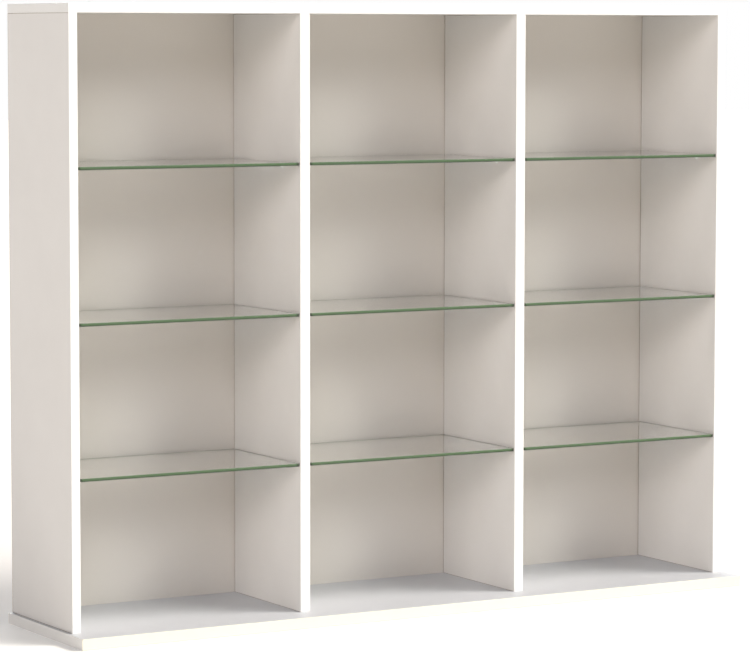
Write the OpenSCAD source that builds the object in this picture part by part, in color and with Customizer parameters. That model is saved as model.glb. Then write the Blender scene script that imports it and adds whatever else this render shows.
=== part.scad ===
// Open bookcase with three columns of loose glass shelves, on a projecting base board.
// Millimetres. Origin: centre of the footprint, on the floor. +Z up, the open front faces -Y.

/* [Overall] */
// Width over the outer faces of the two sides
body_w = 1250; // [900:10:1600]
// Depth of the boards, from their front edges to their rear edges
body_d = 233; // [190:1:320]
// Clear height of every compartment
bay_h = 240; // [180:5:320]

/* [Boards] */
// Thickness of the left and right side
side_t = 15; // [12:1:22]
// Thickness of the two partitions
partition_t = 18; // [18:1:25]
// Thickness of the top panel
top_t = 15; // [12:1:25]
// Thickness of the base board
base_t = 18; // [15:1:28]
// Projection of the base board in front of the carcass
base_front = 52; // [10:1:100]
// Projection of the base board past each side
base_side = 7; // [2:1:30]
// Thickness of the glued edge bands
band_t = 1; // [0.4:0.2:2]

/* [Back] */
// Thickness of the back sheets
back_t = 3; // [2:0.5:5]
// Distance of the back sheets' outer edges from the outer faces of the carcass
back_inset = 1.5; // [0.5:0.5:4]
// Gap between two neighbouring back sheets
back_gap = 1; // [0.5:0.5:3]

/* [Glass shelves] */
// Thickness of the glass
glass_t = 5; // [4:1:8]
// Gap between a shelf and the wall at each end
glass_side_gap = 2; // [1:0.5:4]
// Gap between a shelf and the back sheet
glass_rear_gap = 5; // [1:1:15]

/* [Shelf pegs] */
// Distance of the front pegs behind the front edges
peg_front = 60; // [35:1:75]
// Distance of the rear pegs from the rear edges
peg_rear = 60; // [35:1:75]
// Reach of a peg's plate out of the wall
peg_reach = 8; // [6:1:14]
// Width of a peg's plate
peg_w = 10; // [8:1:16]
// Height of a peg's collar and rib below the glass
peg_h = 6; // [5.5:0.5:9]
// Diameter of a peg's pin
pin_d = 5; // [3:0.5:5]
// Length of a peg's pin in the wall
pin_l = 7.5; // [5:0.5:7.5]

/* [Joints] */
// Distance of the screws from the front and rear edges
screw_inset = 37; // [25:1:45]
// Length of a screw
screw_l = 50; // [40:5:60]
// Distance of the dowels from the front and rear edges
dowel_inset = 69; // [60:1:85]
// Diameter of a dowel
dowel_d = 8; // [6:1:8]
// Length of a dowel
dowel_l = 30; // [25:5:40]
// Length of a back nail
nail_l = 20; // [16:1:25]
// Nails along each upright edge of a back sheet
nails_up = 7; // [3:1:10]
// Nails along the top and the bottom edge of a back sheet
nails_across = 3; // [2:1:6]

/* [Hidden] */
columns = ["left", "middle", "right"];
shelves = 3;
white = [0.93, 0.92, 0.90];
band_white = [0.97, 0.97, 0.96];
back_white = [0.86, 0.84, 0.80];
glass_green = [0.62, 0.80, 0.70, 0.55];
steel = [0.72, 0.72, 0.74];
beech = [0.80, 0.66, 0.46];
clear_plastic = [0.92, 0.94, 0.92];

// Sides of every round
$fn = 48;

// Clearances
fit = 0.05;
hole_end_gap = 0.5;
over = 1;

// Confirmat screw: head, neck, thread
head_d = 7;
head_h = 2;
head_cone_h = 1;
head_sink = 1;
neck_d = 5;
core_d = 3.6;
neck_end = 1;
thread_pitch = 2.5;
tip_h = 2;
socket_d = 3.4;
socket_h = 2.4;
socket_sides = 6;
cap_d = 12;

// Dowel, nail and peg details
dowel_cover = 5;
dowel_chamfer = 1;
nail_d = 1.4;
nail_head_d = 3.5;
nail_head_t = 0.6;
nail_margin = 60;
plate_t = 1.6;
rib_t = 2.4;
rib_setback = 1.5;
collar_t = 1.2;
// Place of a nail on a partition's rear edge, where two sheets meet, as a share of its thickness
nail_share = 1 / 4;

// Places worked out from the sizes above
depth_all = base_front + body_d + back_t;
y_front = base_front - depth_all / 2;
y_rear = y_front + body_d;
base_w = body_w + 2 * base_side;
uprights = len(columns) + 1;
bay_w = (body_w - 2 * side_t - (uprights - 2) * partition_t) / len(columns);
upright_h = (shelves + 1) * bay_h + shelves * glass_t;
z_top = base_t + upright_h;
height = z_top + top_t;
pin_z = -peg_h / 2;
thread_l = screw_l - tip_h;

function is_side(i) = i == 0 || i == uprights - 1;
function upright_t(i) = is_side(i) ? side_t : partition_t;
function upright_x(i) =
    i == 0 ? -body_w / 2 : -body_w / 2 + side_t + (i - 1) * partition_t + i * bay_w;
function upright_mid(i) = upright_x(i) + upright_t(i) / 2;
function shelf_z(r) = base_t + (r + 1) * bay_h + r * glass_t;
function two_rows(inset) = [y_front + inset, y_rear - inset];
function spaced(from, to, n) = [for (k = [0:n - 1]) from + (to - from) * k / (n - 1)];

// Back sheet c reaches from x_from to x_to
function sheet_from(c) =
    c == 0 ? -body_w / 2 + back_inset : upright_mid(c) + back_gap / 2;
function sheet_to(c) = c == len(columns) - 1
    ? body_w / 2 - back_inset
    : upright_mid(c + 1) - back_gap / 2;
function nail_x_left(c) = c == 0 ? upright_mid(0) : upright_x(c) + partition_t * (1 - nail_share);
function nail_x_right(c) = c == len(columns) - 1
    ? upright_mid(c + 1)
    : upright_x(c + 1) + partition_t * nail_share;
function nails_on_uprights(c) = [
    for (x = [nail_x_left(c), nail_x_right(c)])
        for (z = spaced(base_t + nail_margin, z_top - nail_margin, nails_up))
            [x, z]
];
function nails_on_ends(c) = [
    for (x = spaced(sheet_from(c) + nail_margin, sheet_to(c) - nail_margin, nails_across))
        for (z = [base_t / 2, z_top + top_t / 2])
            [x, z]
];
function nail_places(c) = concat(nails_on_uprights(c), nails_on_ends(c));

function shelf_name(c, r) = str("glass_shelf_", columns[c], "_", r + 1);
function pegs_name(c, r) = str("shelf_pegs_", columns[c], "_", r + 1);

// Fasteners, each drawn at the origin

// Outline of a screw, head at the top: its thread is a row of ridges between core and neck diameter
function screw_outline(neck_l) = concat(
    [[0, 0], [head_d / 2, 0], [head_d / 2, -head_h], [neck_d / 2, -head_h - head_cone_h]],
    [[neck_d / 2, -neck_l]],
    [
        for (z = [neck_l + neck_end:thread_pitch:thread_l - thread_pitch])
            for (p = [[core_d, 0], [neck_d, thread_pitch / 2]])
                [p[0] / 2, -z - p[1]]
    ],
    [[core_d / 2, -thread_l], [0, -screw_l]]
);

module screw(neck_l) {
    difference() {
        rotate_extrude() polygon(screw_outline(neck_l));
        translate([0, 0, -socket_h]) cylinder(d = socket_d, h = socket_h + over, $fn = socket_sides);
    }
}

// Room for a screw whose head lies head_sink below the face at z = 0
module screw_hole(neck_l) {
    translate([0, 0, -head_sink - screw_l - hole_end_gap])
        cylinder(d = neck_d + 2 * fit, h = screw_l + hole_end_gap + over);
    translate([0, 0, -head_sink - head_h - head_cone_h])
        cylinder(d = head_d + 2 * fit, h = head_h + head_cone_h + head_sink + over);
}

// A cover cap, flush with the face at z = 0, on top of the screw's head
module cover_cap() {
    translate([0, 0, -head_sink]) cylinder(d = cap_d, h = head_sink);
}

module cap_recess() {
    translate([0, 0, -head_sink])
        cylinder(d = cap_d + 2 * fit, h = head_sink + over);
}

// A dowel standing on z = 0
module dowel() {
    tip_d = dowel_d - 2 * dowel_chamfer;
    rotate_extrude() polygon([
        [0, 0], [tip_d / 2, 0], [dowel_d / 2, dowel_chamfer],
        [dowel_d / 2, dowel_l - dowel_chamfer], [tip_d / 2, dowel_l], [0, dowel_l]
    ]);
}

module dowel_hole() {
    translate([0, 0, -hole_end_gap])
        cylinder(d = dowel_d + 2 * fit, h = dowel_l + 2 * hole_end_gap);
}

// A nail driven along -Y from the face at y = 0
module nail(gap) {
    rotate([90, 0, 0]) {
        cylinder(d = nail_d + 2 * gap, h = nail_l + gap);
        cylinder(d = nail_head_d + 2 * gap, h = nail_head_t + gap / 2);
    }
}

// A peg on a wall at x = 0 that faces +X, with its plate's top at z = 0
module peg() {
    translate([0, -peg_w / 2, -plate_t]) cube([peg_reach, peg_w, plate_t]);
    rotate([90, 0, 0]) linear_extrude(height = rib_t, center = true) polygon([
        [0, -plate_t / 2], [peg_reach - rib_setback, -plate_t / 2],
        [peg_reach - rib_setback, -plate_t], [collar_t, -peg_h], [0, -peg_h]
    ]);
    translate([0, 0, pin_z]) rotate([0, 90, 0]) cylinder(d = peg_h, h = collar_t);
    translate([-pin_l, 0, pin_z]) rotate([0, 90, 0]) cylinder(d = pin_d, h = pin_l);
}

module peg_hole() {
    translate([-pin_l - hole_end_gap, 0, pin_z])
        rotate([0, 90, 0]) cylinder(d = pin_d + 2 * fit, h = pin_l + hole_end_gap + over);
}

// Places of the fasteners

module on_upright(i, inset) {
    for (y = two_rows(inset)) translate([upright_mid(i), y, 0]) children();
}

module at_top_screws(i) {
    on_upright(i, screw_inset) translate([0, 0, height]) children();
}

module at_base_screws(i) {
    on_upright(i, screw_inset) mirror([0, 0, 1]) children();
}

module at_top_dowels(i) {
    on_upright(i, dowel_inset) translate([0, 0, height - dowel_cover - dowel_l]) children();
}

module at_base_dowels(i) {
    on_upright(i, dowel_inset) translate([0, 0, dowel_cover]) children();
}

module at_nails(c) {
    for (p = nail_places(c)) translate([p[0], y_rear + back_t, p[1]]) children();
}

// The four pegs of shelf r in column c: two on the wall at its left end, two at its right end
module at_pegs(c, r) {
    for (y = [y_front + peg_front, y_rear - peg_rear]) {
        translate([upright_x(c) + upright_t(c), y, shelf_z(r)]) children();
        translate([upright_x(c + 1), y, shelf_z(r)]) mirror([1, 0, 0]) children();
    }
}

// Boards

module joint_holes(i) {
    at_top_screws(i) screw_hole();
    at_base_screws(i) screw_hole();
    at_top_dowels(i) dowel_hole();
    at_base_dowels(i) dowel_hole();
}

module all_joint_holes() {
    for (i = [0:uprights - 1]) joint_holes(i);
}

module all_nail_holes() {
    for (c = [0:len(columns) - 1]) at_nails(c) nail(fit);
}

// Upright i with its holes: 0 and 3 are the sides, 1 and 2 the partitions
module upright(i) {
    color(white) difference() {
        translate([upright_x(i), y_front + band_t, base_t])
            cube([upright_t(i), body_d - band_t, upright_h]);
        joint_holes(i);
        for (c = [max(0, i - 1):min(len(columns) - 1, i)]) {
            at_nails(c) nail(fit);
            for (r = [0:shelves - 1]) at_pegs(c, r) peg_hole();
        }
    }
}

module upright_band(i) {
    color(band_white) translate([upright_x(i), y_front, base_t])
        cube([upright_t(i), band_t, upright_h]);
}

// Band on the front of a board w wide whose front left corner is at the origin
module front_band(w, t) {
    color(band_white) cube([w, band_t, t]);
}

// Band on the end of a board d deep, behind its front band
module end_band(d, t) {
    color(band_white) translate([0, band_t, 0]) cube([band_t, d - band_t, t]);
}

module banded_core(w, d, t) {
    translate([band_t, band_t, 0]) cube([w - 2 * band_t, d - band_t, t]);
}

module back_panel(c) {
    x_from = sheet_from(c);
    color(back_white) difference() {
        translate([x_from, y_rear, back_inset])
            cube([sheet_to(c) - x_from, back_t, height - 2 * back_inset]);
        at_nails(c) nail(fit);
    }
}

module left_side() { upright(0); }
module partition_left() { upright(1); }
module partition_right() { upright(2); }
module right_side() { upright(3); }

module top_panel() {
    color(white) difference() {
        translate([-body_w / 2, y_front, z_top]) banded_core(body_w, body_d, top_t);
        all_joint_holes();
        all_nail_holes();
        for (i = [0:uprights - 1]) at_top_screws(i) cap_recess();
    }
}

module base_board() {
    color(white) difference() {
        translate([-base_w / 2, y_front - base_front, 0])
            banded_core(base_w, body_d + base_front, base_t);
        all_joint_holes();
        all_nail_holes();
    }
}

module back_panel_left() { back_panel(0); }
module back_panel_middle() { back_panel(1); }
module back_panel_right() { back_panel(2); }

// Edge bands

module left_side_edge_band() { upright_band(0); }
module partition_left_edge_band() { upright_band(1); }
module partition_right_edge_band() { upright_band(2); }
module right_side_edge_band() { upright_band(3); }

module top_front_edge_band() {
    translate([-body_w / 2, y_front, z_top]) front_band(body_w, top_t);
}

module top_left_edge_band() {
    translate([-body_w / 2, y_front, z_top]) end_band(body_d, top_t);
}

module top_right_edge_band() {
    translate([body_w / 2 - band_t, y_front, z_top]) end_band(body_d, top_t);
}

module base_front_edge_band() {
    translate([-base_w / 2, y_front - base_front, 0]) front_band(base_w, base_t);
}

module base_left_edge_band() {
    translate([-base_w / 2, y_front - base_front, 0]) end_band(body_d + base_front, base_t);
}

module base_right_edge_band() {
    translate([base_w / 2 - band_t, y_front - base_front, 0])
        end_band(body_d + base_front, base_t);
}

// Groups of fasteners

module top_dowels() {
    color(beech) for (i = [0:uprights - 1]) at_top_dowels(i) dowel();
}

module base_dowels() {
    color(beech) for (i = [0:uprights - 1]) at_base_dowels(i) dowel();
}

module top_screws() {
    color(steel) for (i = [0:uprights - 1])
        at_top_screws(i) translate([0, 0, -head_sink]) screw(top_t);
}

module base_screws() {
    color(steel) for (i = [0:uprights - 1])
        at_base_screws(i) translate([0, 0, -head_sink]) screw(base_t);
}

module screw_cover_caps() {
    color(band_white) for (i = [0:uprights - 1]) at_top_screws(i) cover_cap();
}

module back_nails() {
    color(steel) for (c = [0:len(columns) - 1]) at_nails(c) nail(0);
}

// Glass shelves and their pegs

module glass_shelf(c, r) {
    color(glass_green)
        translate([upright_x(c) + upright_t(c) + glass_side_gap, y_front, shelf_z(r)])
            cube([bay_w - 2 * glass_side_gap, body_d - glass_rear_gap, glass_t]);
}

module shelf_pegs(c, r) {
    color(clear_plastic) at_pegs(c, r) peg();
}

top_panel();
left_side();
partition_left();
partition_right();
right_side();
base_board();
back_panel_left();
back_panel_middle();
back_panel_right();
top_front_edge_band();
top_left_edge_band();
top_right_edge_band();
left_side_edge_band();
partition_left_edge_band();
partition_right_edge_band();
right_side_edge_band();
base_front_edge_band();
base_left_edge_band();
base_right_edge_band();
top_dowels();
base_dowels();
top_screws();
base_screws();
screw_cover_caps();
back_nails();
for (c = [0:len(columns) - 1]) {
    for (r = [0:shelves - 1]) {
        glass_shelf(c, r);
        shelf_pegs(c, r);
    }
}
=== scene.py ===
"""Looks of the open bookcase with glass shelves: boards, edge bands, glass, pegs, light and camera.

Metres, in the CAD model's own frame: +Z up, the open front faces -Y, the floor is z = 0.
"""
import math

import bmesh
import bpy
from mathutils import Euler, Matrix, Vector


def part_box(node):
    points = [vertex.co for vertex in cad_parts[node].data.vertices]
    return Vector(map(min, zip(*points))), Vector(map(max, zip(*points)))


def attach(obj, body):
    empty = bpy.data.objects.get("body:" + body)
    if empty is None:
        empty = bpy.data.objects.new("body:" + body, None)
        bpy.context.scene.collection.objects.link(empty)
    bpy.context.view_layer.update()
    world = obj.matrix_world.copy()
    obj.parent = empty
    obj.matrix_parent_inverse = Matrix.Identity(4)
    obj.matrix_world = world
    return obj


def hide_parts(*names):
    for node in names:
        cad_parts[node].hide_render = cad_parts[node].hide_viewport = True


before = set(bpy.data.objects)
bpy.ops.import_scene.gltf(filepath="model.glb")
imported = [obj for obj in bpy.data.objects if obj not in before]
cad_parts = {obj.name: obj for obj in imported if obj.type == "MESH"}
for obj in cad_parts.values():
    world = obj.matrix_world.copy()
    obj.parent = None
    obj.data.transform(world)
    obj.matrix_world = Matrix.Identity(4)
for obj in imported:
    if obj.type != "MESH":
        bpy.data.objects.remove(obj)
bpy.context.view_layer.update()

MM = 0.001
COLUMNS = ("left", "middle", "right")
SHELVES = (1, 2, 3)
UPRIGHTS = ("left_side", "partition_left", "partition_right", "right_side")

# Sizes that only the looks need
BOARD_EDGE = 0.3 * MM           # radius of the top and base boards' arrises
REAR_CUT = 1.7 * MM             # width of the chipboard strip along an upright's rear arrises; this dark strip also paints the shadow line in the back corners
REAR_CUT_DEPTH = 0.5 * MM       # how deep that strip slants into the board
END_CUT = 0.6 * MM              # width of the chipboard strip round an upright's ends, which also paints the shade line at the joints with the top and base
BAND_EDGE = 0.8 * MM            # radius of a band's long outer arrises
BAND_SEAM = 0.12 * MM           # chamfer on every other arris of the boards and bands
GLASS_ARRIS = 0.35 * MM         # radius, as are the next three
GLASS_CORNER = 1.2 * MM
CAP_RIM = 0.25 * MM
PEG_CORNER = 2 * MM
HOLE_PLAY = 0.05 * MM           # between a fitting and its hole, all round
HOLE_SPARE = 0.5 * MM           # a peg hole's depth beyond the pin
WELD_GAP = 0.002 * MM           # points of a welded mesh that lie closer than this become one

# Limits that pick edges and faces
SHARP = 1.0                     # radians: an edge that turns by more than this is not rounded yet
ALONG = 0.9                     # an edge with this share of its direction on an axis lies along it
ACROSS = 0.1                    # and one with less than this share lies across it
REAR_FACING = 0.05              # share of +Y in the normal of an upright's chipboard at the rear
END_FACING = 0.3                # share of Z in the normal of its chipboard at the ends
PANE_FACING = 0.95              # share of Z in the normal of a pane's clear faces

# Peg, screw and cap sizes, as in the CAD model
PEG_WIDTH = 10 * MM
PEG_PIN = 5 * MM
PEG_PIN_LENGTH = 7.5 * MM
PEG_PIN_DROP = 3 * MM
PEG_COLLAR = 1.2 * MM
PEG_PLATE = 1.6 * MM
PEG_REACH = 8 * MM
PEG_RIB = 2.4 * MM
PEG_TOE = 1.5 * MM
SCREW_HEAD = 7 * MM
SCREW_HEAD_DEPTH = 3 * MM
CAP_WIDTH = 12 * MM
CAP_DEPTH = 1 * MM

# Stage and camera
FLOOR_HALF_WIDTH = 30.0
FLOOR_DROP = 0.5 * MM           # keeps the floor from coinciding with the base board's underside
LIGHT_DISTANCE = 6.0            # only where a sun's object stands; its light is the same from anywhere
CAMERA_PLACE = (-2.8325, -4.8719, 0.9596)
CAMERA_TURN = -29.970           # degrees, as are the next two
CAMERA_DOWN = 4.973
CAMERA_ROLL = -0.06
CAMERA_LENS = 161.66            # focal length in millimetres


# ---------------------------------------------------------------- materials

WHITE = (1.0, 1.0, 1.0)
OPAQUE_WHITE = (*WHITE, 1.0)


def new_material(name):
    """An empty node material with its Principled shader: (material, nodes, links, shader)."""
    material = bpy.data.materials.new(name)
    material.use_nodes = True
    nodes, links = material.node_tree.nodes, material.node_tree.links
    return material, nodes, links, nodes["Principled BSDF"]


def noise(nodes, links, coordinates, scale, detail=2.0, roughness=0.5, stretch=None):
    """A noise texture in object space, optionally stretched along the axes."""
    texture = nodes.new("ShaderNodeTexNoise")
    texture.inputs["Scale"].default_value = scale
    texture.inputs["Detail"].default_value = detail
    texture.inputs["Roughness"].default_value = roughness
    source = coordinates.outputs["Object"]
    if stretch:
        mapping = nodes.new("ShaderNodeMapping")
        mapping.inputs["Scale"].default_value = stretch
        links.new(source, mapping.inputs["Vector"])
        source = mapping.outputs["Vector"]
    links.new(source, texture.inputs["Vector"])
    return texture.outputs["Fac"]


def ramp(nodes, links, factor, stops):
    """A colour ramp over (position, colour) stops, in rising order."""
    node = nodes.new("ShaderNodeValToRGB")
    elements = node.color_ramp.elements
    for k, (position, colour) in enumerate(stops):
        element = elements[k] if k < len(elements) else elements.new(position)
        element.position = position
        element.color = (*colour, 1.0)
    links.new(factor, node.inputs["Fac"])
    return node.outputs["Color"]


def multiply(nodes, links, first, second):
    """The product of two colours."""
    mix = nodes.new("ShaderNodeMix")
    mix.data_type, mix.blend_type = "RGBA", "MULTIPLY"
    mix.inputs["Factor"].default_value = 1.0
    links.new(first, mix.inputs["A"])
    links.new(second, mix.inputs["B"])
    return mix.outputs["Result"]


def spread(nodes, links, factor, low, high):
    """A factor from 0 to 1 mapped to low..high."""
    node = nodes.new("ShaderNodeMapRange")
    node.inputs["To Min"].default_value = low
    node.inputs["To Max"].default_value = high
    links.new(factor, node.inputs["Value"])
    return node.outputs["Result"]


def bump(nodes, links, height, shader, distance, strength=1.0, after=None):
    """Bump on a shader's normal; returns the node, so that a second one can follow it."""
    node = nodes.new("ShaderNodeBump")
    node.inputs["Strength"].default_value = strength
    node.inputs["Distance"].default_value = distance
    links.new(height, node.inputs["Height"])
    if after:
        links.new(after.outputs["Normal"], node.inputs["Normal"])
    links.new(node.outputs["Normal"], shader.inputs["Normal"])
    return node


def melamine(name, dark, light):
    """White melamine board: faint mottling, satin gloss that varies, and a fine pearl texture."""
    material, nodes, links, shader = new_material(name)
    at = nodes.new("ShaderNodeTexCoord")
    mottle = noise(nodes, links, at, 9.0, 4.0, 0.55)
    links.new(ramp(nodes, links, mottle, [(0.3, dark), (0.7, light)]), shader.inputs["Base Color"])
    links.new(spread(nodes, links, noise(nodes, links, at, 35.0, 3.0), 0.36, 0.48),
              shader.inputs["Roughness"])
    pearl = bump(nodes, links, noise(nodes, links, at, 900.0, 2.0), shader, 0.02 * MM, 0.35)
    bump(nodes, links, noise(nodes, links, at, 140.0, 2.0), shader, 0.04 * MM, 0.25, after=pearl)
    return material


def chipboard_and_shade_line():
    """The saw-cut core of a melamine board: brown chips of several tones, rough; on the uprights its strips
    also paint the shade lines at the joints.
    """
    material, nodes, links, shader = new_material("chipboard_and_shade_line")
    at = nodes.new("ShaderNodeTexCoord")
    chips = noise(nodes, links, at, 420.0, 5.0, 0.6, stretch=(1.0, 1.0, 0.5))
    links.new(ramp(nodes, links, chips, [(0.3, (0.20, 0.165, 0.125)), (0.7, (0.36, 0.30, 0.23))]),
              shader.inputs["Base Color"])
    links.new(spread(nodes, links, chips, 0.7, 0.9), shader.inputs["Roughness"])
    bump(nodes, links, chips, shader, 0.15 * MM, 0.6)
    return material


def edge_band(name, dark, light):
    """Plastic edge band, smoother than the board, with faint scraper lines."""
    material, nodes, links, shader = new_material(name)
    at = nodes.new("ShaderNodeTexCoord")
    tone = noise(nodes, links, at, 6.0, 3.0)
    links.new(ramp(nodes, links, tone, [(0.3, dark), (0.7, light)]), shader.inputs["Base Color"])
    links.new(spread(nodes, links, noise(nodes, links, at, 50.0), 0.28, 0.38), shader.inputs["Roughness"])
    lines = noise(nodes, links, at, 30.0, 2.0, stretch=(30.0, 30.0, 1.0))
    bump(nodes, links, lines, shader, 0.015 * MM, 0.3)
    return material


def back_sheet():
    """White-lacquered hardboard: matt, with the faint speckle of its fibres showing through; its warm taupe
    tint is painted warm light.
    """
    material, nodes, links, shader = new_material("lacquered_hardboard")
    at = nodes.new("ShaderNodeTexCoord")
    cloud = noise(nodes, links, at, 4.0, 4.0)
    # painted warm light: the white lacquer is tinted to a warm taupe
    links.new(ramp(nodes, links, cloud, [(0.25, (0.692, 0.652, 0.602)), (0.75, (0.722, 0.684, 0.635))]),
              shader.inputs["Base Color"])
    links.new(spread(nodes, links, noise(nodes, links, at, 60.0), 0.5, 0.62), shader.inputs["Roughness"])
    fibres = noise(nodes, links, at, 420.0, 4.0, 0.65, stretch=(1.0, 1.0, 0.6))
    bump(nodes, links, fibres, shader, 0.05 * MM, 0.35)
    return material


def float_glass():
    """Clear float glass for a pane's two faces: faint smears in its gloss, and a slight green absorption."""
    material, nodes, links, shader = new_material("float_glass")
    at = nodes.new("ShaderNodeTexCoord")
    shader.inputs["Base Color"].default_value = OPAQUE_WHITE
    shader.inputs["Transmission Weight"].default_value = 1.0
    shader.inputs["IOR"].default_value = 1.5
    smears = noise(nodes, links, at, 14.0, 3.0)
    links.new(spread(nodes, links, smears, 0.0, 0.012), shader.inputs["Roughness"])
    volume = nodes.new("ShaderNodeVolumeAbsorption")
    volume.inputs["Color"].default_value = (0.30, 0.64, 0.46, 1.0)
    volume.inputs["Density"].default_value = 3.0
    links.new(volume.outputs["Volume"], nodes["Material Output"].inputs["Volume"])
    return material


def glass_edge():
    """A pane's polished edge, green, with faint streaks: painted reflection and shade make it deep green
    below and paler above, lightest at its upper arris, and painted shade darkens its two ends.
    """
    material, nodes, links, shader = new_material("glass_edge_green")
    at = nodes.new("ShaderNodeTexCoord")
    place = nodes.new("ShaderNodeSeparateXYZ")
    links.new(at.outputs["Generated"], place.inputs["Vector"])
    # painted reflection and shade: deep green low on the edge, paler higher up, lightest at the upper arris
    tone = ramp(nodes, links, place.outputs["Z"],
                [(0.26, (0.032, 0.060, 0.026)), (0.44, (0.063, 0.116, 0.052)), (0.92, (0.090, 0.160, 0.076)),
                 (0.99, (0.130, 0.210, 0.112))])
    streaks = noise(nodes, links, at, 40.0, 3.0, stretch=(1.0, 1.0, 20.0))
    streaks = ramp(nodes, links, streaks, [(0.3, (0.84, 0.88, 0.85)), (0.7, WHITE)])
    streaked = multiply(nodes, links, tone, streaks)
    # painted shade: both ends of the edge darker, where the pane meets the uprights
    tips = ramp(nodes, links, place.outputs["X"],
                [(0.0, (0.60, 0.55, 0.60)), (0.010, WHITE), (0.982, WHITE), (0.994, (0.45, 0.36, 0.45))])
    links.new(multiply(nodes, links, streaked, tips), shader.inputs["Base Color"])
    links.new(spread(nodes, links, noise(nodes, links, at, 200.0), 0.10, 0.22), shader.inputs["Roughness"])
    shader.inputs["IOR"].default_value = 1.5
    return material


def clear_plastic():
    """Milky moulded plastic that lets a little light through, with flow marks in its gloss."""
    material, nodes, links, shader = new_material("clear_peg_plastic")
    at = nodes.new("ShaderNodeTexCoord")
    tone = noise(nodes, links, at, 160.0)
    links.new(ramp(nodes, links, tone, [(0.3, (0.94, 0.96, 0.93)), (0.7, (0.98, 0.99, 0.97))]),
              shader.inputs["Base Color"])
    links.new(spread(nodes, links, noise(nodes, links, at, 300.0), 0.12, 0.25), shader.inputs["Roughness"])
    shader.inputs["Transmission Weight"].default_value = 0.1
    shader.inputs["IOR"].default_value = 1.49
    return material


def zinc():
    """Zinc-plated steel with cloudy plating and drawing marks."""
    material, nodes, links, shader = new_material("zinc_plated_steel")
    at = nodes.new("ShaderNodeTexCoord")
    cloud = noise(nodes, links, at, 500.0, 4.0)
    links.new(ramp(nodes, links, cloud, [(0.3, (0.55, 0.56, 0.58)), (0.7, (0.72, 0.72, 0.73))]),
              shader.inputs["Base Color"])
    links.new(spread(nodes, links, noise(nodes, links, at, 900.0), 0.22, 0.42), shader.inputs["Roughness"])
    shader.inputs["Metallic"].default_value = 1.0
    return material


def beech():
    """Beech dowel wood: straight grain along Z with short dark flecks."""
    material, nodes, links, shader = new_material("beech_wood")
    at = nodes.new("ShaderNodeTexCoord")
    grain = noise(nodes, links, at, 60.0, 6.0, 0.6, stretch=(12.0, 12.0, 1.0))
    links.new(ramp(nodes, links, grain, [(0.3, (0.52, 0.34, 0.18)), (0.7, (0.72, 0.53, 0.33))]),
              shader.inputs["Base Color"])
    links.new(spread(nodes, links, grain, 0.6, 0.75), shader.inputs["Roughness"])
    bump(nodes, links, grain, shader, 0.1 * MM, 0.5)
    return material


def floor_paint():
    """Matt white studio floor that glows faintly, with a hardly visible mottle."""
    material, nodes, links, shader = new_material("studio_floor")
    at = nodes.new("ShaderNodeTexCoord")
    tone = noise(nodes, links, at, 1.5, 3.0)
    links.new(ramp(nodes, links, tone, [(0.3, (0.89, 0.875, 0.85)), (0.7, (0.91, 0.895, 0.87))]),
              shader.inputs["Base Color"])
    shader.inputs["Roughness"].default_value = 0.9
    shader.inputs["Specular IOR Level"].default_value = 0.2
    shader.inputs["Emission Color"].default_value = OPAQUE_WHITE
    shader.inputs["Emission Strength"].default_value = 0.18
    return material


MELAMINE = melamine("melamine_white", (0.745, 0.733, 0.720), (0.775, 0.763, 0.750))
# painted shade: the base board gets a darker, cooler copy of the white melamine, for the shaded floor of the
# bottom row
SHADED_BASE_MELAMINE = melamine("melamine_base_shaded", (0.565, 0.580, 0.615), (0.595, 0.610, 0.645))
CHIPBOARD_AND_SHADE_LINE = chipboard_and_shade_line()
EDGE_BAND = edge_band("edge_band_white", (0.800, 0.798, 0.790), (0.830, 0.828, 0.820))
# painted warm light: the base's front band is a cream-tinted copy of the white band
WARM_LIT_BASE_BAND = edge_band("edge_band_painted_warm", (0.770, 0.742, 0.625), (0.795, 0.767, 0.650))
BACK_SHEET = back_sheet()
FLOAT_GLASS = float_glass()
EDGE_GLASS = glass_edge()
CLEAR_PLASTIC = clear_plastic()
ZINC = zinc()
BEECH = beech()


# ---------------------------------------------------------------- mesh tools

def finish_piece(mesh_builder, name, material, body, nodes):
    """Turns a bmesh into a piece that rides on a body and stands for CAD nodes."""
    bmesh.ops.recalc_face_normals(mesh_builder, faces=mesh_builder.faces)
    mesh = bpy.data.meshes.new(name)
    mesh_builder.to_mesh(mesh)
    mesh_builder.free()
    mesh.materials.append(material)
    piece = bpy.data.objects.new(name, mesh)
    bpy.context.scene.collection.objects.link(piece)
    smooth_by_angle(mesh)
    even_normals(piece)
    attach(piece, body)
    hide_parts(*nodes)
    return piece


def smooth_by_angle(mesh, limit=math.radians(40)):
    """Smooth shading that stays sharp across edges steeper than the limit."""
    mesh.polygons.foreach_set("use_smooth", [True] * len(mesh.polygons))
    mesh.set_sharp_from_angle(angle=limit)


def even_normals(piece):
    """Keeps large flat faces shading flat beside their rounded arrises."""
    normals = piece.modifiers.new("even_normals", "WEIGHTED_NORMAL")
    normals.mode = "FACE_AREA"
    normals.weight = 100
    normals.keep_sharp = True


def box_bmesh(low, high):
    """A box between two corners."""
    size = high - low
    builder = bmesh.new()
    bmesh.ops.create_cube(builder, size=1.0,
                          matrix=Matrix.Translation((low + high) / 2) @ Matrix.Diagonal((*size, 1.0)))
    return builder


def prism_bmesh(outline, rise):
    """A closed prism from an outline of points and the way it rises."""
    builder = bmesh.new()
    face = builder.faces.new([builder.verts.new(point) for point in outline])
    raised = bmesh.ops.extrude_face_region(builder, geom=[face])["geom"]
    bmesh.ops.translate(builder, vec=rise, verts=[v for v in raised if isinstance(v, bmesh.types.BMVert)])
    bmesh.ops.recalc_face_normals(builder, faces=builder.faces)
    return builder


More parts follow.
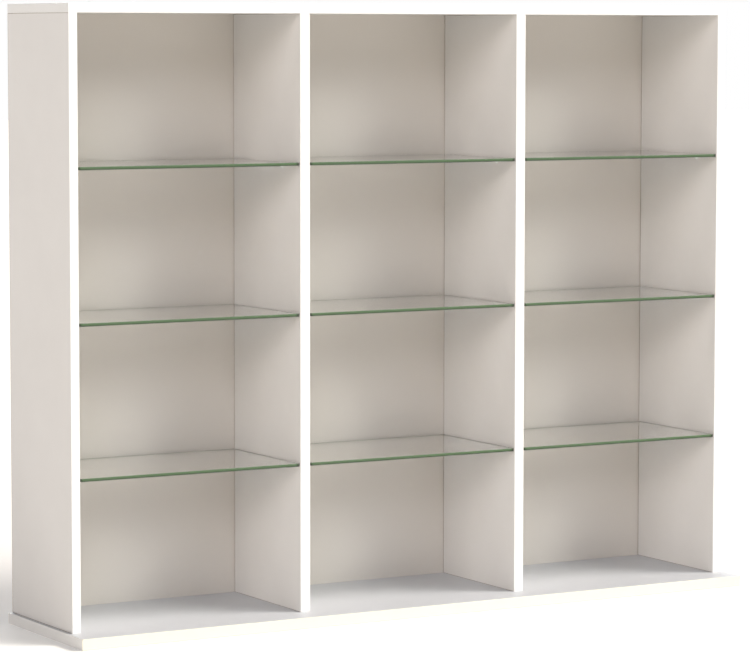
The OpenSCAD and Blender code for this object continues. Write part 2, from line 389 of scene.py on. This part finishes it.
def edges_where(builder, test):
    """Edges whose direction and middle pass the test."""
    return [e for e in builder.edges
            if test((e.verts[1].co - e.verts[0].co).normalized(), (e.verts[0].co + e.verts[1].co) / 2)]


def sharp_edges(builder):
    """Every edge that nothing has rounded yet."""
    return [e for e in builder.edges if e.calc_face_angle(0.0) > SHARP]


def round_edges(builder, edges, radius, segments):
    """Rounds edges with the given number of facets; one facet is a chamfer."""
    bmesh.ops.bevel(builder, geom=edges, offset=radius, offset_type="OFFSET", segments=segments,
                    profile=0.5, affect="EDGES", clamp_overlap=True)


def add_rod(builder, start, end, diameter, sides=32):
    """A closed rod between two points."""
    axis = end - start
    turn = axis.to_track_quat("Z", "Y").to_matrix().to_4x4()
    bmesh.ops.create_cone(builder, cap_ends=True, segments=sides, radius1=diameter / 2, radius2=diameter / 2,
                          depth=axis.length, matrix=Matrix.Translation((start + end) / 2) @ turn)


def plain_object(name, builder):
    """A helper object made from a bmesh, which it frees."""
    mesh = bpy.data.meshes.new(name)
    builder.to_mesh(mesh)
    builder.free()
    helper = bpy.data.objects.new(name, mesh)
    bpy.context.scene.collection.objects.link(helper)
    return helper


def discard(helper):
    """Removes a helper object and its mesh."""
    mesh = helper.data
    bpy.data.objects.remove(helper)
    bpy.data.meshes.remove(mesh)


def boolean_mesh(target, tool, operation):
    """The exact boolean of an object with a helper object, as a new mesh; the helper is removed."""
    step = target.modifiers.new("boolean", "BOOLEAN")
    step.operation = operation
    step.solver = "EXACT"
    step.object = tool
    bpy.context.view_layer.update()
    result = bpy.data.meshes.new_from_object(target.evaluated_get(bpy.context.evaluated_depsgraph_get()))
    discard(tool)
    return result


def weld(first, second):
    """The union of two closed bmeshes, which it frees."""
    target = plain_object("first", first)
    mesh = boolean_mesh(target, plain_object("second", second), "UNION")
    discard(target)
    welded = bmesh.new()
    welded.from_mesh(mesh)
    bpy.data.meshes.remove(mesh)
    bmesh.ops.remove_doubles(welded, verts=welded.verts, dist=WELD_GAP)
    return welded


def drill(piece, holes):
    """Cuts round holes, given as (start, end, diameter), out of a piece's mesh."""
    builder = bmesh.new()
    for start, end, diameter in holes:
        add_rod(builder, start, end, diameter, sides=40)
    drilled = boolean_mesh(piece, plain_object("drill", builder), "DIFFERENCE")
    piece.modifiers.clear()
    old = piece.data
    piece.data = drilled
    drilled.name = old.name
    bpy.data.meshes.remove(old)
    smooth_by_angle(drilled)
    even_normals(piece)


# ---------------------------------------------------------------- places taken from the frame

def peg_places(column, row):
    """A shelf's four pegs: (point on the wall level with the glass's underside, way out of the wall)."""
    low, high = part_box(f"shelf_pegs_{column}_{row}")
    walls = ((low.x + PEG_PIN_LENGTH, 1.0), (high.x - PEG_PIN_LENGTH, -1.0))
    rows = (low.y + PEG_WIDTH / 2, high.y - PEG_WIDTH / 2)
    return [(Vector((x, y, high.z)), way) for x, way in walls for y in rows]


def screw_places(group):
    """x, y of every screw in a group: on the middle of each upright, in two rows."""
    low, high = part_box(group)
    rows = (low.y + SCREW_HEAD / 2, high.y - SCREW_HEAD / 2)
    middles = [(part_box(u)[0].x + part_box(u)[1].x) / 2 for u in UPRIGHTS]
    return [(x, y) for x in middles for y in rows]


def peg_holes(upright):
    """The shelf-peg holes that open on an upright's faces."""
    low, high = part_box(upright)
    holes = []
    for column in COLUMNS:
        for row in SHELVES:
            for place, way in peg_places(column, row):
                if low.x - MM < place.x < high.x + MM:
                    axis = place - Vector((0, 0, PEG_PIN_DROP))
                    outside = axis + Vector((way * MM, 0, 0))
                    bottom = axis - Vector((way * (PEG_PIN_LENGTH + HOLE_SPARE), 0, 0))
                    holes.append((outside, bottom, PEG_PIN + 2 * HOLE_PLAY))
    return holes


# ---------------------------------------------------------------- boards and bands

def board(node, material=MELAMINE):
    """A melamine board with broken arrises, so that every joint shows as a fine line.

    The arrises behind its front edge band stay almost sharp, as the band is trimmed flush with them.
    """
    low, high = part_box(node)
    builder = box_bmesh(low, high)
    round_edges(builder, edges_where(builder, lambda way, at: at.y > low.y + MM), BOARD_EDGE, 3)
    round_edges(builder, sharp_edges(builder), BAND_SEAM, 1)
    return finish_piece(builder, node + "_board", material, "carcass", [node])


def upright_board(node):
    """An upright: melamine faces, with chipboard showing on its saw-cut ends, rear edge and arrises; these
    dark strips also paint the shade lines at its joints.
    """
    low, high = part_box(node)
    shoulder = high.y - REAR_CUT
    outline = [(low.x, low.y), (high.x, low.y), (high.x, shoulder), (high.x - REAR_CUT_DEPTH, high.y),
               (low.x + REAR_CUT_DEPTH, high.y), (low.x, shoulder)]
    builder = prism_bmesh([Vector((x, y, low.z)) for x, y in outline], Vector((0, 0, high.z - low.z)))
    ends = edges_where(builder, lambda way, at: abs(way.z) < ACROSS and low.y + MM < at.y)
    round_edges(builder, ends, END_CUT, 1)
    round_edges(builder, sharp_edges(builder), BAND_SEAM, 1)
    builder.normal_update()
    # painted shade: the chipboard strips at the rear and the ends darken the joint lines as well as showing
    # the raw edge
    for face in builder.faces:
        at_rear = face.normal.y > REAR_FACING
        at_end = abs(face.normal.z) > END_FACING and face.calc_center_median().y > low.y + MM
        face.material_index = 1 if at_rear or at_end else 0
    piece = finish_piece(builder, node + "_board", MELAMINE, "carcass", [node])
    piece.data.materials.append(CHIPBOARD_AND_SHADE_LINE)
    return piece


def make_boards():
    """The six boards, with the peg holes, the caps' recesses and the base screws' counterbores."""
    for upright in UPRIGHTS:
        drill(upright_board(upright), peg_holes(upright))
    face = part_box("top_panel")[1].z
    recesses = [(Vector((x, y, face + MM)), Vector((x, y, face - CAP_DEPTH)), CAP_WIDTH + 2 * HOLE_PLAY)
                for x, y in screw_places("top_screws")]
    drill(board("top_panel"), recesses)
    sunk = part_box("base_screws")[0].z + SCREW_HEAD_DEPTH
    counterbores = [(Vector((x, y, -MM)), Vector((x, y, sunk)), SCREW_HEAD + 2 * HOLE_PLAY)
                    for x, y in screw_places("base_screws")]
    drill(board("base_board", SHADED_BASE_MELAMINE), counterbores)


def band(node, outward, material=EDGE_BAND):
    """An edge band: its two long outer arrises rounded as a scraper leaves them, the rest just broken."""
    low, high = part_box(node)
    builder = box_bmesh(low, high)
    size = high - low
    long_axis = max(range(3), key=lambda k: size[k])
    middle = (low + high) / 2
    outer = edges_where(builder, lambda way, at:
                        abs(way[long_axis]) > ALONG and (at - middle).dot(outward) > 0)
    round_edges(builder, outer, BAND_EDGE, 5)
    round_edges(builder, sharp_edges(builder), BAND_SEAM, 1)
    finish_piece(builder, node + "_strip", material, "carcass", [node])


def make_bands():
    """All ten bands; the base board's front band is the creamy one that the photograph shows: a copy of the
    white band, its cream tint painted warm light.
    """
    front, left, right = Vector((0, -1, 0)), Vector((-1, 0, 0)), Vector((1, 0, 0))
    for upright in UPRIGHTS:
        band(upright + "_edge_band", front)
    for owner, material in (("top", EDGE_BAND), ("base", WARM_LIT_BASE_BAND)):
        band(owner + "_front_edge_band", front, material)
        band(owner + "_left_edge_band", left)
        band(owner + "_right_edge_band", right)


def make_caps():
    """The flush cover caps: thin plastic discs with a rounded rim, one piece for the whole set."""
    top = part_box("screw_cover_caps")[1].z
    builder = bmesh.new()
    for x, y in screw_places("top_screws"):
        add_rod(builder, Vector((x, y, top - CAP_DEPTH)), Vector((x, y, top)), CAP_WIDTH, sides=48)
    round_edges(builder, sharp_edges(builder), CAP_RIM, 2)
    finish_piece(builder, "screw_cover_cap_discs", EDGE_BAND, "carcass", ["screw_cover_caps"])


# ---------------------------------------------------------------- glass and pegs

def make_glass(column, row):
    """One glass shelf: clear faces, green polished edges, arrises and blunted corners."""
    node = f"glass_shelf_{column}_{row}"
    low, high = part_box(node)
    builder = box_bmesh(low, high)
    upright = edges_where(builder, lambda way, at: abs(way.z) > ALONG)
    round_edges(builder, upright, GLASS_CORNER, 4)
    round_edges(builder, sharp_edges(builder), GLASS_ARRIS, 2)
    builder.normal_update()
    for face in builder.faces:
        face.material_index = 0 if abs(face.normal.z) > PANE_FACING else 1
    pane = finish_piece(builder, node + "_pane", FLOAT_GLASS, f"shelf_{column}_{row}", [node])
    pane.data.materials.append(EDGE_GLASS)


def peg_mesh():
    """One peg at the origin, welded into a single body: pin, collar, plate with rounded corners and its rib.

    The collar and rib end just off flush, so that no two faces of the welded parts coincide.
    """
    axis = Vector((0, 0, -PEG_PIN_DROP))
    short, hair = 0.1 * MM, 0.02 * MM
    pin, collar = bmesh.new(), bmesh.new()
    add_rod(pin, axis - Vector((PEG_PIN_LENGTH, 0, 0)), axis + Vector((PEG_COLLAR / 2, 0, 0)), PEG_PIN, 32)
    add_rod(collar, axis, axis + Vector((PEG_COLLAR, 0, 0)), 2 * PEG_PIN_DROP - hair, 40)
    plate = box_bmesh(Vector((0, -PEG_WIDTH / 2, -PEG_PLATE)), Vector((PEG_REACH, PEG_WIDTH / 2, 0)))
    tips = edges_where(plate, lambda way, at: abs(way.z) > ALONG and at.x > PEG_REACH / 2)
    round_edges(plate, tips, PEG_CORNER, 6)
    root, toe = PEG_COLLAR / 3, PEG_REACH - PEG_TOE
    top, drop = -PEG_PLATE / 2, 2 * PEG_PIN_DROP - short
    outline = [(root, top), (toe, top), (toe, -PEG_PLATE - short),
               (PEG_COLLAR + short, -drop), (root, -drop)]
    rib = prism_bmesh([Vector((x, -PEG_RIB / 2, z)) for x, z in outline], Vector((0, PEG_RIB, 0)))
    body = weld(weld(weld(pin, collar), plate), rib)
    peg = bpy.data.meshes.new("peg")
    body.to_mesh(peg)
    body.free()
    return peg


def add_peg(builder, peg, place, way):
    """Puts a copy of the peg on a wall; way is 1 where the wall faces +X and -1 where it faces -X."""
    start = len(builder.verts)
    builder.from_mesh(peg)
    builder.verts.ensure_lookup_table()
    turn = Matrix.Rotation(0.0 if way > 0 else math.pi, 4, "Z")
    bmesh.ops.transform(builder, matrix=Matrix.Translation(place) @ turn, verts=builder.verts[start:])


PEG = peg_mesh()


def make_pegs(column, row):
    """The four pegs under one shelf, as one piece."""
    node = f"shelf_pegs_{column}_{row}"
    builder = bmesh.new()
    for place, way in peg_places(column, row):
        add_peg(builder, PEG, place, way)
    finish_piece(builder, node + "_moulded", CLEAR_PLASTIC, "carcass", [node])


# ---------------------------------------------------------------- carried-over CAD nodes

def give(node, material):
    """Gives a CAD node's object its procedural material."""
    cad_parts[node].material_slots[0].material = material


def dress_cad_nodes():
    """Materials for the nodes whose CAD shape is already right."""
    for side in COLUMNS:
        give("back_panel_" + side, BACK_SHEET)
    for group in ("top_dowels", "base_dowels"):
        give(group, BEECH)
    for group in ("top_screws", "base_screws", "back_nails"):
        give(group, ZINC)


# ---------------------------------------------------------------- stage, light and camera

def make_floor():
    """One wide pale sheet under the bookcase."""
    builder = bmesh.new()
    bmesh.ops.create_grid(builder, x_segments=1, y_segments=1, size=FLOOR_HALF_WIDTH)
    floor = plain_object("studio_floor", builder)
    floor.data.materials.append(floor_paint())
    floor.location.z = -FLOOR_DROP


def soft_sun(name, azimuth, elevation, spread_angle, strength, colour):
    """A distant soft light; azimuth 0 is straight in front and positive to the right of it.

    It is sampled only from the surfaces it lights, so that the glass shelves cast plain shadows.
    """
    a, e = math.radians(azimuth), math.radians(elevation)
    towards = Vector((math.sin(a) * math.cos(e), -math.cos(a) * math.cos(e), math.sin(e)))
    data = bpy.data.lights.new(name, "SUN")
    data.angle = math.radians(spread_angle)
    data.energy = strength
    data.color = colour
    data.cycles.use_multiple_importance_sampling = False
    light = bpy.data.objects.new(name, data)
    light.location = towards * LIGHT_DISTANCE
    light.rotation_euler = (-towards).to_track_quat("-Z", "Y").to_euler()
    bpy.context.scene.collection.objects.link(light)


def make_lights():
    """Warm keys from the right, cool and warm fills from the left, and one light for the rear face."""
    soft_sun("key_right_25", 25, 28, 20, 0.36, (1.0, 0.95, 0.92))
    soft_sun("key_right_40", 40, 28, 20, 0.92, (0.98, 1.0, 0.92))
    soft_sun("right_high", 60, 42, 24, 2.80, (1.0, 0.955, 0.89))
    soft_sun("right_far", 75, 42, 24, 0.45, (1.0, 0.83, 0.76))
    soft_sun("fill_left_30", -30, 24, 20, 0.62, (0.92, 0.93, 1.0))
    soft_sun("fill_left_62", -62, 24, 20, 0.48, (0.94, 0.96, 1.0))
    soft_sun("fill_left_low", -58, 13, 26, 0.44, (1.0, 0.74, 0.50))
    soft_sun("behind", 158, 18, 20, 1.0, (0.98, 0.98, 1.0))


def make_world():
    """A white surround that only the camera and glossy reflections see; the lamps do the lighting."""
    world = bpy.data.worlds.new("studio")
    bpy.context.scene.world = world
    world.use_nodes = True
    background = world.node_tree.nodes["Background"]
    background.inputs["Color"].default_value = OPAQUE_WHITE
    world.cycles_visibility.diffuse = False
    world.cycles_visibility.transmission = False


def make_camera():
    """The photograph's long-lens view: from the left front, a little lower than the bookcase's top."""
    data = bpy.data.cameras.new("camera")
    data.sensor_width = 36.0
    data.lens = CAMERA_LENS
    data.clip_end = 100.0
    camera = bpy.data.objects.new("camera", data)
    camera.location = CAMERA_PLACE
    camera.rotation_euler = Euler([math.radians(a) for a in (90 - CAMERA_DOWN, CAMERA_ROLL, CAMERA_TURN)])
    bpy.context.scene.collection.objects.link(camera)
    bpy.context.scene.camera = camera


make_boards()
make_bands()
make_caps()
for column_name in COLUMNS:
    for row_number in SHELVES:
        make_glass(column_name, row_number)
        make_pegs(column_name, row_number)
dress_cad_nodes()
make_floor()
make_lights()
make_world()
make_camera()
bpy.context.scene.view_settings.view_transform = "Standard"
